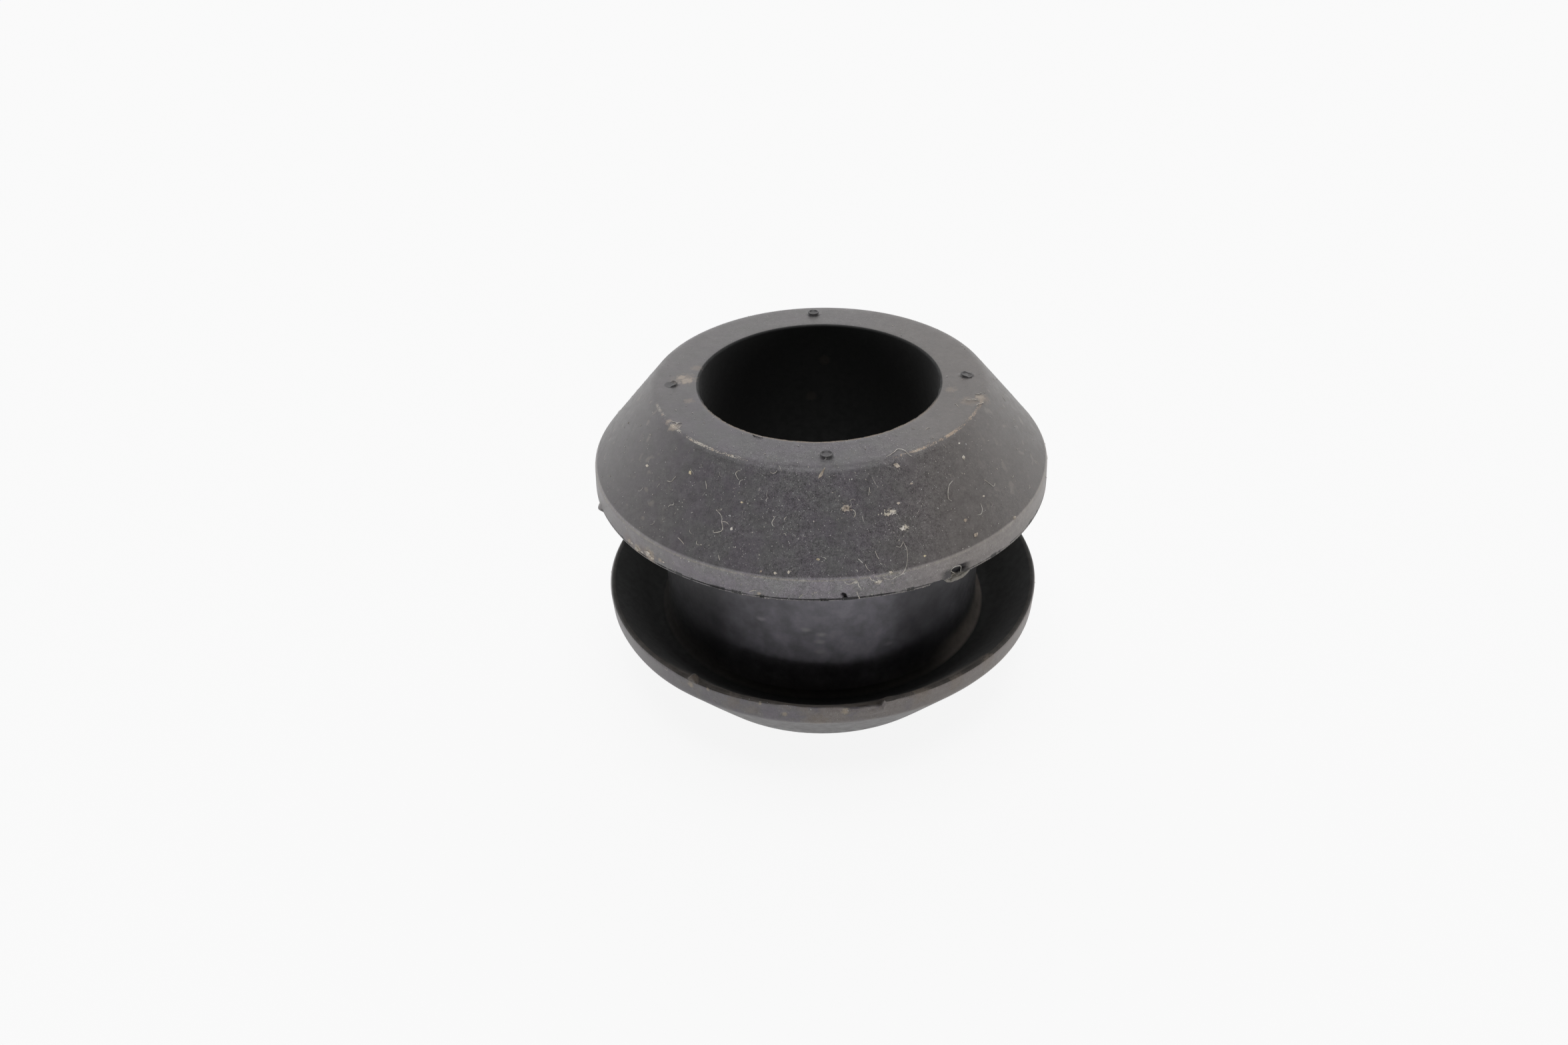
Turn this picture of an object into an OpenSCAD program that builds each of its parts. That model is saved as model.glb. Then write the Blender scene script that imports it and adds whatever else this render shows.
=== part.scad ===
// Rubber grommet, moulded in one piece: a thick sleeve with a cupped flange at
// each end. The two flanges face each other like shallow bowls, and the groove
// between their lips grips the edge of a panel hole. Millimetres, +Z up along
// the bore, origin at the centre of the base. Heights are measured from the base.

/* [Sleeve] */
// Diameter of the bore, right through
bore_d = 15.5; // [13:0.1:17.5]
// Diameter of the neck, at the bottom of the groove
neck_d = 21.8; // [20.4:0.1:23]
// Diameter of the flat hub face at each end
hub_d = 21.5; // [20:0.1:23]
// Height of the sleeve, from hub face to hub face
body_h = 21.1; // [18:0.1:30]

/* [Flanges] */
// Diameter over the lips of the flanges
lip_d = 30; // [28:0.1:36]
// Height of the cone between the hub face and the rim band
cone_h = 5; // [4.2:0.1:6]
// Height of the rim band, from the cone to the lip
band_h = 1.4; // [1:0.1:2]
// How far the foot of the rim band stands in from the lip
band_inset = 0.08; // [0.03:0.01:0.5]
// Width of the flat land along the lip
lip_land = 0.35; // [0.2:0.01:0.8]
// Depth of a cup, from its lip to where its floor would meet the neck
cup_depth = 3.9; // [2.5:0.1:4.4]

/* [Rounded edges] */
// Radius along the edge of the hub face
hub_edge_r = 0.35; // [0.05:0.05:0.6]
// Radius along the mouth of the bore
bore_edge_r = 0.15; // [0.05:0.05:0.4]
// Radius between the cone and the rim band
band_edge_r = 0.4; // [0.1:0.05:0.8]
// Radius along each edge of the lip
lip_edge_r = 0.12; // [0.04:0.02:0.2]
// Radius of the fillet between the floor of a cup and the neck
cup_fillet_r = 0.6; // [0.2:0.05:1]

/* [Moulding marks] */
// Number of vent pips round the top hub face
pip_count = 4; // [0:1:8]
// Diameter of a vent pip
pip_d = 0.8; // [0.4:0.1:1.2]
// Height of a vent pip
pip_h = 0.2; // [0.1:0.05:0.5]
// Direction of the first vent pip, in degrees from +X
pip_turn = 2; // [0:1:90]
// Direction of the torn gate on the upper rim, in degrees from +X
gate_turn = -59; // [-180:1:180]
// Width of the tongue of rubber left at the gate
gate_w = 1.7; // [1:0.1:3]
// How far the tongue hangs below the upper lip
gate_drop = 0.3; // [0.1:0.05:0.5]
// Height of the pit above the tongue, where the gate tore out
gate_pit_h = 0.8; // [0.4:0.1:1]
// Depth of the pit
gate_pit_depth = 0.35; // [0.1:0.05:0.4]
// Direction of the flash nub on the upper rim, in degrees from +X
nub_turn = -160; // [-180:1:180]
// Diameter of the flash nub
nub_d = 1; // [0.6:0.1:1.4]

/* [Wear] */
// Direction of the nick in the lower lip, in degrees from +X
nick_turn = -77; // [-180:1:180]
// Width of the nick
nick_w = 1.3; // [0.5:0.1:3]
// Depth of the nick
nick_depth = 0.3; // [0.1:0.05:0.5]

/* [Hidden] */
$fn = 128;

arc_step = 15;    // degrees of turn between the points of a rounded edge
rooting = 0.3;    // how far a pip or the tongue reaches into its flange
bore_r = bore_d / 2;
neck_r = neck_d / 2;
hub_r = hub_d / 2;
lip_r = lip_d / 2;
lip_h = cone_h + band_h;
upper_lip_h = body_h - lip_h;
pip_ring_r = (bore_r + hub_r) / 2;

// The corners of the lower half's section, as [radius, height, edge radius].
lower_corners = [
    [bore_r, 0, bore_edge_r],
    [hub_r, 0, hub_edge_r],
    [lip_r - band_inset, cone_h, band_edge_r],
    [lip_r, lip_h, lip_edge_r],
    [lip_r - lip_land, lip_h, lip_edge_r],
    [neck_r, lip_h - cup_depth, cup_fillet_r],
];

// The same corners turned over, for the upper half.
upper_corners = [
    for (i = [len(lower_corners) - 1 : -1 : 0])
        let (c = lower_corners[i])
        [c[0], body_h - c[1], c[2]]
];

function unit(v) = v / norm(v);

// The arc that rounds the corner b between a and c, as a list of points. Its
// radius is r, or less where it would take more than half of an edge.
function rounded_corner(a, b, c, r) =
    let (to_a = unit(a - b),
         to_c = unit(c - b),
         half = acos(to_a * to_c) / 2,
         run = min(r / tan(half), norm(a - b) / 2, norm(c - b) / 2),
         radius = run * tan(half),
         centre = b + unit(to_a + to_c) * radius / sin(half),
         start = b + to_a * run - centre,
         swing = (180 - 2 * half) * sign(cross(to_c, to_a)),
         steps = ceil(abs(swing) / arc_step))
    [for (i = [0 : steps])
        let (t = swing * i / steps)
        centre + [start[0] * cos(t) - start[1] * sin(t),
                  start[0] * sin(t) + start[1] * cos(t)]];

function point(corner) = [corner[0], corner[1]];

// A closed outline with every corner rounded by its own radius.
function rounded_outline(corners) =
    let (n = len(corners))
    [for (i = [0 : n - 1])
        each rounded_corner(point(corners[(i + n - 1) % n]), point(corners[i]),
                            point(corners[(i + 1) % n]), corners[i][2])];

// The sleeve with both flanges, as one turned shape.
module spool() {
    rotate_extrude()
        polygon(rounded_outline(concat(lower_corners, upper_corners)));
}

// Vent pips: short round stubs where the mould let the air out.
module vent_pips() {
    for (i = [0 : 1 : pip_count - 1])
        rotate([0, 0, pip_turn + i * 360 / pip_count])
            translate([pip_ring_r, 0, body_h - rooting])
                cylinder(d = pip_d, h = pip_h + rooting, $fn = 32);
}

// Lays its children on their side at a height: their +Z then points out from
// the axis in the direction given, and their +Y points up.
module facing_out(turn, height) {
    rotate([0, 0, turn])
        translate([0, 0, height])
            rotate([90, 0, 90])
                children();
}

// Radius of a disc from which a straight cut takes a slice w wide and d deep.
function slice_r(w, d) = w * w / (8 * d) + d / 2;

// The tongue of rubber that hangs below the upper lip at the gate.
module gate_tongue() {
    r = slice_r(gate_w, gate_drop);
    facing_out(gate_turn, upper_lip_h)
        intersection() {
            translate([0, r - gate_drop, lip_r - lip_land])
                cylinder(r = r, h = lip_land - lip_edge_r / 2, $fn = 64);
            translate([-gate_w, -gate_drop, 0])
                cube([2 * gate_w, gate_drop + rooting, lip_r]);
        }
}

// The pit above the tongue: a round-ended trough across the rim band.
module gate_pit() {
    r = gate_pit_h / 2;
    facing_out(gate_turn, upper_lip_h + band_h - r)
        translate([0, -(band_h - gate_pit_h) / 2, lip_r + r - gate_pit_depth]) {
            for (side = [-1, 1])
                translate([side * (gate_w / 2 - r), 0, 0])
                    sphere(r = r, $fn = 32);
            rotate([0, 90, 0])
                cylinder(r = r, h = gate_w - gate_pit_h, center = true, $fn = 32);
        }
}

// A bead of flash on the edge of the upper rim.
module flash_nub() {
    rotate([0, 0, nub_turn])
        translate([lip_r - nub_d / 4, 0, upper_lip_h + nub_d / 4])
            sphere(d = nub_d, $fn = 32);
}

// The nick torn out of the lower lip.
module lip_nick() {
    r = slice_r(nick_w, nick_depth);
    facing_out(nick_turn, lip_h)
        translate([0, r - nick_depth, neck_r + cup_fillet_r])
            cylinder(r = r, h = lip_r, $fn = 64);
}

module grommet() {
    color([0.17, 0.165, 0.18])
        difference() {
            union() {
                spool();
                vent_pips();
                gate_tongue();
                flash_nub();
            }
            gate_pit();
            lip_nick();
        }
}

grommet();
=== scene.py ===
import math
import random

import bpy
from mathutils import Matrix, Quaternion, Vector, noise
from mathutils.bvhtree import BVHTree


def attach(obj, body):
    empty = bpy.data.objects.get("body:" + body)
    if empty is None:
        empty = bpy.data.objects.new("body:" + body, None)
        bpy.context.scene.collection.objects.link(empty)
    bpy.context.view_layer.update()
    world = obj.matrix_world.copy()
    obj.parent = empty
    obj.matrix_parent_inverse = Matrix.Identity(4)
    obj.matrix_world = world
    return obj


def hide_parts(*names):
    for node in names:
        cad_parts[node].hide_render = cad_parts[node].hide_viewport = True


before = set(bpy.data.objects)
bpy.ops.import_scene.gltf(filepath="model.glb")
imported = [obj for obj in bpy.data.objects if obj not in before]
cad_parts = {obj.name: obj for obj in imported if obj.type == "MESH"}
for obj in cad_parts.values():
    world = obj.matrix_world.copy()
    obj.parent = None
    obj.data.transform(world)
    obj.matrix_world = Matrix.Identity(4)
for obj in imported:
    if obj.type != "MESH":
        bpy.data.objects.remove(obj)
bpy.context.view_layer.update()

# The rubber grommet, dressed. Shapes are worked out in millimetres and brought
# to metres when a piece is finished. Directions are in degrees from +X, seen
# from above, and heights are measured from the base.

MM = 0.001
TURNS = 320                 # steps round the axis
RIM_STEP, SKIN_STEP, BORE_STEP = 0.25, 0.55, 1.2    # longest edges of the section
JOINED = 1e-4               # points closer than this are one
TINY = 0.002                # edges shorter than this are dissolved

# ---- sizes, as in the part's source ----
BORE_R = 7.75
NECK_R = 10.9
HUB_R = 10.75
BODY_H = 21.1
LIP_R = 15.0
CONE_H = 5.0
BAND_H = 1.4
BAND_INSET = 0.08
LIP_LAND = 0.35
CUP_DEPTH = 3.9
PIP_RING_R = 9.49
LIP_H = CONE_H + BAND_H
UPPER_LIP_H = BODY_H - LIP_H
BAND_TOP = UPPER_LIP_H + BAND_H
FLANK_FOOT_R = LIP_R - BAND_INSET

# ---- rounding of the corners: at the hub, the cups and the lower rim, more than in the source ----
BORE_EDGE, BAND_EDGE, LIP_EDGE = 0.15, 0.4, 0.12
HUB_EDGE, CUP_FILLET = 0.68, 1.1
SOFT_LIP_EDGE, SOFT_BAND_EDGE = 0.30, 0.7       # on the lower rim

# ---- places and sizes of the moulding marks and the wear ----
PIP_R, PIP_H, PIP_ROOT = 0.385, 0.18, 0.3
PIPS = [(-87.7, 0.0), (-177.0, 1.0), (0.4, 0.8), (91.9, 0.0)]       # direction, and how torn
GATE, GATE_DROP, GATE_DEPTH = -58.0, 0.27, 0.34         # direction, tongue's drop, hole's depth
NUB, NUB_OUT = -160.0, 0.22
PIT, PIT_HEIGHT, PIT_DEPTH = -85.1, 0.37, 0.30          # direction, height above the lip, depth
NICK_LEFT, NICK_RIGHT, NICK_DEPTH = -103.0, -75.5, 0.46
FLAP, FLAP_UP = -123.6, 0.40
BURR = -120.0                                           # the sliver at the bore's edge
FLASH_LINE, FLASH_HALF = 0.15, 0.045    # middle above the upper lip, and half its height
# Each dot on the neck: direction, height, and how pale its painted highlight is.
NECK_DOTS = [(-95.4, 9.17, 1.0), (-90.4, 8.82, 1.0), (-90.9, 8.22, 0.8), (-91.1, 7.39, 0.6),
             (-67.2, 7.30, 0.4), (-110.8, 9.59, 0.7)]
# Each scuff on the upper band: direction, height above the lip, reach.
RIM_SCUFFS = [(-138.2, 0.24, 0.32), (-133.5, 0.46, 0.44), (-112.0, 0.12, 0.35)]
# Each smudge: direction, radius, height, reach.
PALE_SMUDGES = [(-138.2, 15.0, 14.94, 0.34), (-133.5, 15.0, 15.16, 0.44),
                (-104.0, 15.0, 14.98, 0.12), (-146.8, 10.55, 21.1, 0.34),
                (-151.0, 10.6, 21.1, 0.22), (-141.7, 15.0, 15.1, 0.16),
                (-130.1, 15.0, 15.2, 0.14), (177.0, 8.95, 21.1, 0.28), (180.0, 8.55, 21.1, 0.38),
                (-15.8, 10.4, 21.1, 0.26), (-124.1, 15.0, 6.03, 0.20), (-119.0, 15.0, 6.3, 0.12),
                (-99.3, 14.95, 5.69, 0.17), (-85.0, 15.0, 6.0, 0.22), (-105.2, 14.9, 6.3, 0.10)]
BROWN_SMUDGES = [(-19.6, 9.86, 21.1, 0.5), (-12.0, 8.5, 21.1, 0.35), (-15.8, 10.6, 21.1, 0.5),
                 (-162.0, 8.6, 21.1, 0.3), (168.0, 8.2, 21.1, 0.35), (179.0, 8.7, 21.1, 0.7),
                 (-142.0, 15.0, 15.0, 0.5), (-136.0, 15.0, 14.95, 0.5), (-123.6, 14.8, 6.5, 0.35),
                 (-66.0, 15.0, 6.2, 0.6), (-56.0, 15.0, 5.9, 0.6), (-91.0, 14.9, 5.2, 0.6),
                 (-112.0, 15.0, 5.9, 0.5), (-45.0, 15.0, 6.0, 0.6)]
DIRT_SMUDGES = [(-75.5, 14.3, 5.9, 0.45), (-70.0, 14.1, 5.7, 0.6), (-64.0, 14.2, 5.9, 0.6),
                (-58.0, 14.3, 6.0, 0.5), (86.8, 7.75, 18.40, 0.36), (94.2, 7.75, 15.52, 0.36)]
# Each area to be divided more finely: direction, spread, lowest, highest, inner and outer
# radius, and cuts.
FINE_AREAS = [(GATE - 0.5, 8.0, UPPER_LIP_H - 0.1, UPPER_LIP_H + 1.1, 14.3, 15.1, 4),
              (NUB, 3.5, UPPER_LIP_H - 0.1, UPPER_LIP_H + 0.7, 14.5, 15.1, 2),
              (PIT, 2.0, UPPER_LIP_H + 0.2, UPPER_LIP_H + 0.9, 14.7, 15.1, 5),
              (-136.0, 5.0, UPPER_LIP_H, UPPER_LIP_H + 0.8, 14.7, 15.1, 2),
              (-112.0, 2.0, UPPER_LIP_H - 0.1, UPPER_LIP_H + 0.4, 14.7, 15.1, 2),
              (-78.0, 6.0, LIP_H - 0.8, LIP_H + 0.1, 14.0, 15.1, 2),
              (FLAP, 3.5, LIP_H - 0.6, LIP_H + 0.1, 14.2, 15.1, 2),
              (-92.5, 5.5, 6.6, 9.8, 10.8, 10.95, 4)]

random.seed(41)


# ---- small helpers for modelling ----
def deselect():
    for thing in bpy.context.selected_objects:
        thing.select_set(False)


def work_on(piece):
    deselect()
    piece.select_set(True)
    bpy.context.view_layer.objects.active = piece


def named(name):
    piece = bpy.context.active_object
    piece.name = piece.data.name = name
    return piece


def pick(piece, test, kind="FACE"):
    """Goes to edit mode, with the faces, edges or vertices selected whose middle passes."""
    work_on(piece)
    bpy.ops.object.mode_set(mode="EDIT")
    bpy.ops.mesh.select_mode(type=kind)
    bpy.ops.mesh.select_all(action="DESELECT")
    bpy.ops.object.mode_set(mode="OBJECT")
    mesh = piece.data
    if kind == "FACE":
        for face in mesh.polygons:
            face.select = test(face.center)
    elif kind == "EDGE":
        for edge in mesh.edges:
            a, b = (mesh.vertices[i].co for i in edge.vertices)
            edge.select = test((a + b) / 2)
    else:
        for vertex in mesh.vertices:
            vertex.select = test(vertex.co)
    bpy.ops.object.mode_set(mode="EDIT")


def done():
    bpy.ops.object.mode_set(mode="OBJECT")


def polar(co):
    """Radius and direction of a point."""
    return math.hypot(co.x, co.y), math.degrees(math.atan2(co.y, co.x))


def swing(direction, middle):
    """How far a direction lies from another, in degrees."""
    return (direction - middle + 180) % 360 - 180


def bell(t):
    """1 at the middle, and smoothly down to 0 at 1 either way."""
    return (1 - t * t) ** 2 if abs(t) < 1 else 0.0


def step(t):
    """Smoothly from 0 at 0 to 1 at 1."""
    t = min(max(t, 0), 1)
    return t * t * (3 - 2 * t)


def plateau(t, shoulder):
    """1 in the middle, falling to 0 over the last part, of the shoulder's width, before 1."""
    return step((1 - abs(t)) / shoulder)


def rough(co, size, seed=0):
    """Smooth noise between -1 and 1, with lumps of about the given size."""
    return noise.noise(co / size + Vector((seed * 7.3, seed * 3.1, seed * 5.7)))


def join(pieces, name):
    deselect()
    for piece in pieces:
        piece.select_set(True)
    bpy.context.view_layer.objects.active = pieces[0]
    bpy.ops.object.join()
    return named(name)


def finish_piece(piece, finish):
    """To metres, with its place in its mesh, and riding on the part."""
    work_on(piece)
    piece.matrix_world = Matrix.Scale(MM, 4) @ piece.matrix_world
    bpy.ops.object.transform_apply(location=True, rotation=True, scale=True)
    piece.data.materials.clear()
    piece.data.materials.append(finish)
    bpy.ops.object.shade_smooth()
    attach(piece, "root")
    deselect()


# ---- materials ----
class Amount:
    """A number that varies over a surface. Arithmetic on it adds Math nodes."""

    def __init__(self, tree, socket):
        self.tree, self.socket = tree, socket

    def __add__(self, other):
        return self.tree.math("ADD", self, other)

    __radd__ = __add__

    def __sub__(self, other):
        return self.tree.math("SUBTRACT", self, other)

    def __rsub__(self, other):
        return self.tree.math("SUBTRACT", other, self)

    def __mul__(self, other):
        return self.tree.math("MULTIPLY", self, other)

    __rmul__ = __mul__

    def __truediv__(self, other):
        return self.tree.math("DIVIDE", self, other)

    def __abs__(self):
        return self.tree.math("ABSOLUTE", self)


class Nodes:
    """The nodes of a material or of the room, and the tools that build them."""

    def __init__(self, tree):
        self.nodes, self.links = tree.nodes, tree.links

    def plug(self, socket, value):
        if isinstance(value, Amount):
            self.links.new(value.socket, socket)
        else:
            socket.default_value = value

    def node(self, kind, settings=None, values=None, out=0):
        """One node: its type, its settings, and the values or links of its sockets."""
        made = self.nodes.new("ShaderNode" + kind)
        for key, value in (settings or {}).items():
            setattr(made, key, value)
        sockets = {s.identifier: s for s in made.inputs}
        for key, value in (values or {}).items():
            self.plug(sockets[key] if key in sockets else made.inputs[key], value)
        outputs = {s.identifier: s for s in made.outputs}
        return Amount(self, outputs[out] if out in outputs else made.outputs[out])

    def math(self, operation, *values):
        return self.node("Math", {"operation": operation}, dict(enumerate(values)))

    def split(self, vector):
        return [self.node("SeparateXYZ", None, {0: vector}, out) for out in "XYZ"]

    def most(self, first, *others):
        """The largest of the amounts."""
        for other in others:
            first = self.math("MAXIMUM", first, other)
        return first

    def least(self, first, *others):
        """The smallest of the amounts."""
        for other in others:
            first = self.math("MINIMUM", first, other)
        return first

    def between(self, value, low, high, to_low=0.0, to_high=1.0):
        """Smoothly from one amount to the other as the value goes from low to high."""
        return self.node("MapRange", {"interpolation_type": "SMOOTHSTEP"},
                         {"Value": value, "From Min": low, "From Max": high,
                          "To Min": to_low, "To Max": to_high})

    def fall(self, value, low, high):
        """Smoothly from 1 down to 0 as the value goes from low to high."""
        return self.between(value, low, high, 1.0, 0.0)

    def window(self, value, low, high, soft):
        """1 between low and high, fading over soft outside them."""
        return self.between(value, low - soft, low) * self.fall(value, high, high + soft)

    def rays(self, *kinds):
        """1 for rays of the given kinds, and 0 for the rest."""
        return self.most(*(self.node("LightPath", out="Is %s Ray" % kind) for kind in kinds))


class Finish(Nodes):
    """A material, and the tools that paint it."""

    def __init__(self, name, **constants):
        self.material = bpy.data.materials.new(name)
        self.material.use_nodes = True
        super().__init__(self.material.node_tree)
        self.shader = self.nodes["Principled BSDF"]
        self.set(**constants)
        place = self.node("TexCoord", out="Object")
        self.place = self.node("VectorMath", {"operation": "SCALE"}, {0: place, "Scale": 1 / MM})
        self.base = None

    def set(self, **values):
        """Values and links for the shader's sockets."""
        for socket, value in values.items():
            self.plug(self.shader.inputs[socket.replace("_", " ")], value)
        return self.material

    def mottle(self, size, detail=3.0, roughness=0.5, stretch=(1, 1, 1)):
        """Noise from 0 to 1 with lumps of about the given size in millimetres."""
        where = self.node("Mapping", None, {"Vector": self.place, "Scale": stretch})
        return self.node("TexNoise", None, {"Vector": where, "Scale": 1 / size, "Detail": detail,
                                            "Roughness": roughness}, "Fac")

    def blend(self, mask, first, second):
        """From the first colour to the second by the mask."""
        return self.node("Mix", {"data_type": "RGBA"},
                         {"Factor_Float": mask, "A_Color": first, "B_Color": second},
                         "Result_Color")

    def shade(self, tone, amount):
        """A colour made lighter or darker by an amount."""
        tone = tone if isinstance(tone, Amount) else tone[:3]
        return self.node("VectorMath", {"operation": "SCALE"}, {0: tone, "Scale": amount})

    def paint(self, mask, tone, amount=None):
        """Lays a colour over the base by a mask, made lighter or darker if an amount is given."""
        if amount is not None:
            tone = self.shade(tone, amount)
        self.base = self.blend(mask, self.base, tone)

    def bump(self, height, distance, strength):
        return self.node("Bump", None, {"Height": height, "Distance": distance,
                                        "Strength": strength})

    def away(self, facing, r, height, squat=1.0):
        """Distance from a place, with the upward part counted for more when squat."""
        turned = math.radians(facing)
        middle = (r * math.cos(turned), r * math.sin(turned), height * squat)
        place = self.node("VectorMath", {"operation": "MULTIPLY"},
                          {0: self.place, 1: (1, 1, squat)})
        return self.node("VectorMath", {"operation": "DISTANCE"}, {0: place, 1: middle}, "Value")

    def near(self, facing, r, height, reach, ragged):
        """1 close to a place, and raggedly down to 0 a little way from it."""
        return self.fall(self.away(facing, r, height) / reach + ragged, 0.5, 1.4)

    def any_near(self, places, ragged):
        return self.most(*(self.near(*place, ragged) for place in places))


def colour(red, green, blue):
    return (red, green, blue, 1.0)


# The dust on the outside, from cool to warm, lighter behind as painted sheen and darker underneath
# as painted shade, then the insides, painted blacker as shade.
FILM_COOL, FILM_PLAIN = colour(0.107, 0.098, 0.109), colour(0.106, 0.103, 0.105)
FILM_AND_SHEEN_BEHIND = colour(0.122, 0.115, 0.109)
FILM_RIGHT, FILM_LEFT = colour(0.117, 0.107, 0.102), colour(0.116, 0.109, 0.108)
UNDERSIDE_SHADE, LOWER_RIM = colour(0.077, 0.068, 0.069), colour(0.124, 0.111, 0.105)
CUP_SHADE_BLACK, BORE_SHADE_BLACK = colour(0.010, 0.010, 0.010), colour(0.008, 0.008, 0.008)
CUP_PAINTED_LIGHT_BROWN, LAND_BROWN = colour(0.090, 0.076, 0.064), colour(0.060, 0.052, 0.046)
NECK_GREY, RING_DUST_AND_HIGHLIGHT = colour(0.101, 0.097, 0.110), colour(0.260, 0.222, 0.195)
# Wear, moulding marks and dirt, with painted shade round the front pip, in the flash line's crease
# and in the gate's hole, and painted highlights on the neck's dots.
SCUFF_PALE, SCUFF_BROWN = colour(0.60, 0.55, 0.48), colour(0.44, 0.34, 0.255)
CREST_TAN, BORE_EDGE_BROWN = colour(0.34, 0.32, 0.285), colour(0.19, 0.145, 0.105)
LIP_EDGE_PALE, DOT_HIGHLIGHT_PALE = colour(0.42, 0.40, 0.37), colour(0.40, 0.39, 0.40)
PIP_BLACK, BURR_BLACK = colour(0.030, 0.028, 0.030), colour(0.020, 0.019, 0.020)
SMUDGE_BROWN, SMUDGE_PALE = colour(0.27, 0.22, 0.175), colour(0.47, 0.39, 0.31)
BLOT_PALE, DIRT_BROWN = colour(0.26, 0.235, 0.21), colour(0.052, 0.042, 0.034)
CREASE_SHADE_BLACK, TONGUE_PALE = colour(0.012, 0.012, 0.013), colour(0.33, 0.31, 0.275)
HOLE_SHADE_BLACK, POINT_PALE = colour(0.034, 0.032, 0.036), colour(0.50, 0.49, 0.475)


class Rubber(Finish):
    """The rubber, with masks that tell where on the grommet a point lies."""

    def __init__(self):
        super().__init__("rubber", IOR=1.42, Sheen_Weight=0.07, Sheen_Roughness=0.5)
        x, y, z = self.x, self.y, self.z = self.split(self.place)
        r = self.r = self.math("SQRT", x * x + y * y)
        self.broad = self.mottle(1.3, 4.0, 0.6)
        self.broken = self.mottle(0.22, 4.0, 0.65)

        # Distances from the middle of the height: of the point, and of the lips.
        aside = abs(z - BODY_H / 2)
        lip = BODY_H / 2 - LIP_H
        # A line inside the wall of the cone: the cups lie inwards of it.
        wall_r = LIP_R - 0.2 - (aside - lip - 0.02) * 0.712
        self.groove = self.between(wall_r - r, -0.08, 0.08) \
            * self.fall(aside, lip + CUP_DEPTH + 0.15, lip + CUP_DEPTH + 0.25)
        self.neck = self.groove * self.fall(r, NECK_R + 0.02, NECK_R + 0.25)
        self.bore = self.fall(r, BORE_R + 0.1, BORE_R + 0.2)
        self.ends = self.between(aside, BODY_H / 2 - 0.1, BODY_H / 2 - 0.02)
        self.band = self.between(r, LIP_R - 0.27, LIP_R - 0.19)
        self.land = self.fall(aside, lip + 0.03, lip + 0.07) \
            * self.between(r, LIP_R - 0.4, LIP_R - LIP_LAND)
        self.outside = (1.0 - self.groove) * (1.0 - self.bore)


def dust_and_sheen(f):
    """Dust over the outside, more on top, lighter behind and at the sides as painted sheen, and the
    bands lighter as dust and as a painted highlight.
    """
    x, y, z = f.x, f.y, f.z
    f.base = f.blend(f.between(f.broad, 0.36, 0.64), FILM_COOL, FILM_PLAIN)
    # Lighter and warmer behind: dust, and painted sheen.
    f.paint(f.between(y, -8.0, 6.0) * 0.5, FILM_AND_SHEEN_BEHIND)
    f.paint(f.between(x, 0.5, 9.0), FILM_RIGHT)
    f.paint(f.fall(x, -12.0, -6.0) * 0.6, FILM_LEFT)
    # The underside below the cone's foot is painted darker: painted shade.
    under = f.fall(z, CONE_H - 0.7, CONE_H + 0.3)
    f.paint(under, UNDERSIDE_SHADE)
    low_rim = f.fall(z, LIP_H + 0.3, LIP_H + 0.6) * f.between(f.broad + x * 0.02, 0.40, 0.60)
    f.paint(low_rim * (1.0 - under), LOWER_RIM)

    drift = f.between(x, 3.0, 6.5) * f.fall(y, -6.0, -2.0)
    # At the sides, the flanks' tops and the bands are painted lighter: painted sheen.
    sides = f.between(abs(x), 7.5, 13.0)
    band_top = f.band * f.between(z, UPPER_LIP_H + 0.55, UPPER_LIP_H + 0.85)
    # Lighter behind as painted sheen; the bands lighter as dust and as a painted highlight.
    film_and_sheen = 1.12 + f.between(y, -9.0, 5.0) * 0.10 - f.ends * 0.06
    film_and_sheen = film_and_sheen + f.band * (1.06 + sides * 0.25) + drift * 0.16 + band_top * 0.25
    film_and_sheen = film_and_sheen + sides * f.between(z, 18.0, 20.5) * 0.12
    film_and_sheen = film_and_sheen + (f.mottle(0.9, 3.0, 0.6, stretch=(1, 1, 2.2)) - 0.5) * 0.45
    pip_ends = f.between(z, BODY_H + 0.03, BODY_H + 0.08)
    f.base = f.shade(f.base, film_and_sheen * (1.0 - pip_ends * 0.45))


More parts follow.
